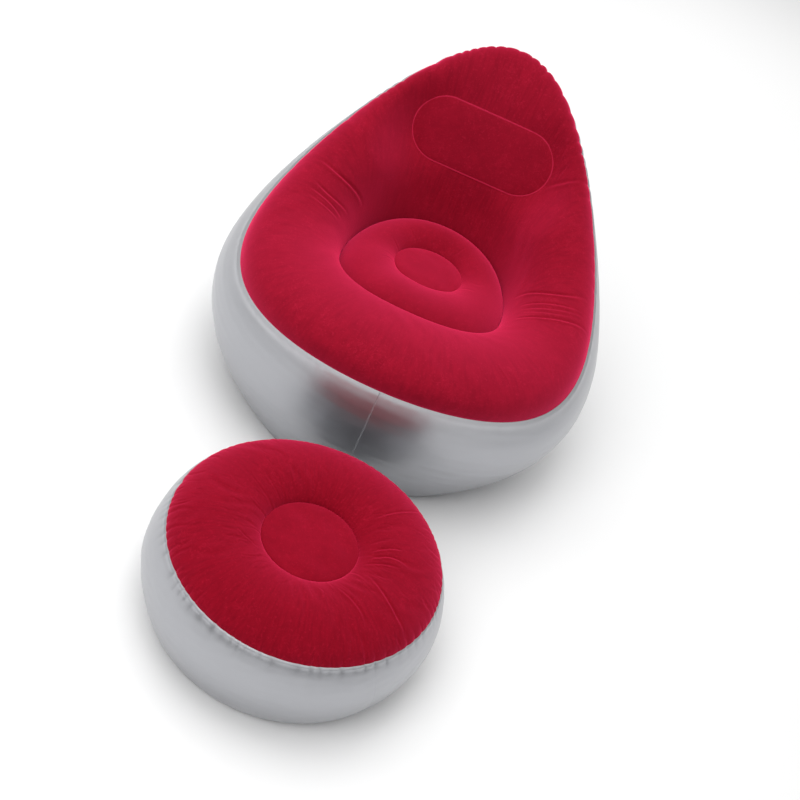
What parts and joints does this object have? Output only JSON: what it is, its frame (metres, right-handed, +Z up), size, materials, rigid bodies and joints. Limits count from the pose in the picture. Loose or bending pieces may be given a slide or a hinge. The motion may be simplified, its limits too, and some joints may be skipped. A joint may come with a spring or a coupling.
{
  "type": "inflatable lounge chair with footstool",
  "caption": "Inflatable lounge chair with a flocked seat, raised back and pillowed headrest, and a matching round footstool; each is filled through a capped plug valve.",
  "frame": {"origin": "On the floor, under the middle of the chair's base panel", "axes": "+Z is up, the front of the chair and its footstool lie towards -Y, and the chair's back is towards +Y; +X is to the sitter's left"},
  "size_m": [0.9794, 1.7851, 0.7521],
  "materials": {
    "red_flock": "short-pile crimson flock on vinyl sheet, matt with a soft sheen at grazing angles",
    "silver_sheet": "silver-grey pearl vinyl sheet, satin",
    "valve_plastic": "soft grey vinyl, satin"
  },
  "bodies": {
    "chair": {"chair_flocked_top": "red_flock", "chair_seat_ring": "red_flock", "chair_seat_disc": "red_flock", "chair_headrest_panel": "red_flock", "chair_side_wall": "silver_sheet", "chair_base_panel": "silver_sheet", "chair_seat_band": "silver_sheet", "chair_disc_band": "silver_sheet", "chair_headrest_band": "silver_sheet", "chair_valve_base": "valve_plastic"},
    "chair_plug": {"chair_valve_plug": "valve_plastic", "chair_valve_strap": "valve_plastic"},
    "chair_cap": {"chair_valve_cap": "valve_plastic"},
    "chair_flap": {"chair_valve_flap": "valve_plastic"},
    "footstool": {"footstool_flocked_top": "red_flock", "footstool_disc": "red_flock", "footstool_side_wall": "silver_sheet", "footstool_base_panel": "silver_sheet", "footstool_disc_band": "silver_sheet", "footstool_valve_base": "valve_plastic"},
    "footstool_plug": {"footstool_valve_plug": "valve_plastic", "footstool_valve_strap": "valve_plastic"},
    "footstool_cap": {"footstool_valve_cap": "valve_plastic"},
    "footstool_flap": {"footstool_valve_flap": "valve_plastic"}
  },
  "joints": [
    {"name": "footstool_travel", "type": "slide", "parent": "chair", "child": "footstool", "axis": [0, -1, 0], "range_m": [0, 0.5]},
    {"name": "chair_plug_pull", "type": "slide", "parent": "chair", "child": "chair_plug", "axis": [0, 0.9701, -0.2427], "range_m": [0, 0.02]},
    {"name": "chair_cap_hinge", "type": "hinge", "parent": "chair_plug", "child": "chair_cap", "pos_m": [0.0185, 0.54185, 0.13955], "axis": [0, -0.2427, -0.9701], "range_deg": [0, 100]},
    {"name": "chair_flap_hinge", "type": "hinge", "parent": "chair_plug", "child": "chair_flap", "pos_m": [0.008, 0.53011, 0.14249], "axis": [0, 0.2427, 0.9701], "range_deg": [0, 35]},
    {"name": "footstool_plug_pull", "type": "slide", "parent": "footstool", "child": "footstool_plug", "axis": [-0.0978, 0.9931, -0.0649], "range_m": [0, 0.02]},
    {"name": "footstool_cap_hinge", "type": "hinge", "parent": "footstool_plug", "child": "footstool_cap", "pos_m": [-0.01295, -0.5818, 0.10795], "axis": [0.0064, -0.0646, -0.9979], "range_deg": [0, 100]},
    {"name": "footstool_flap_hinge", "type": "hinge", "parent": "footstool_plug", "child": "footstool_flap", "pos_m": [-0.02221, -0.59484, 0.10873], "axis": [-0.0064, 0.0646, 0.9979], "range_deg": [0, 35]}
  ]
}
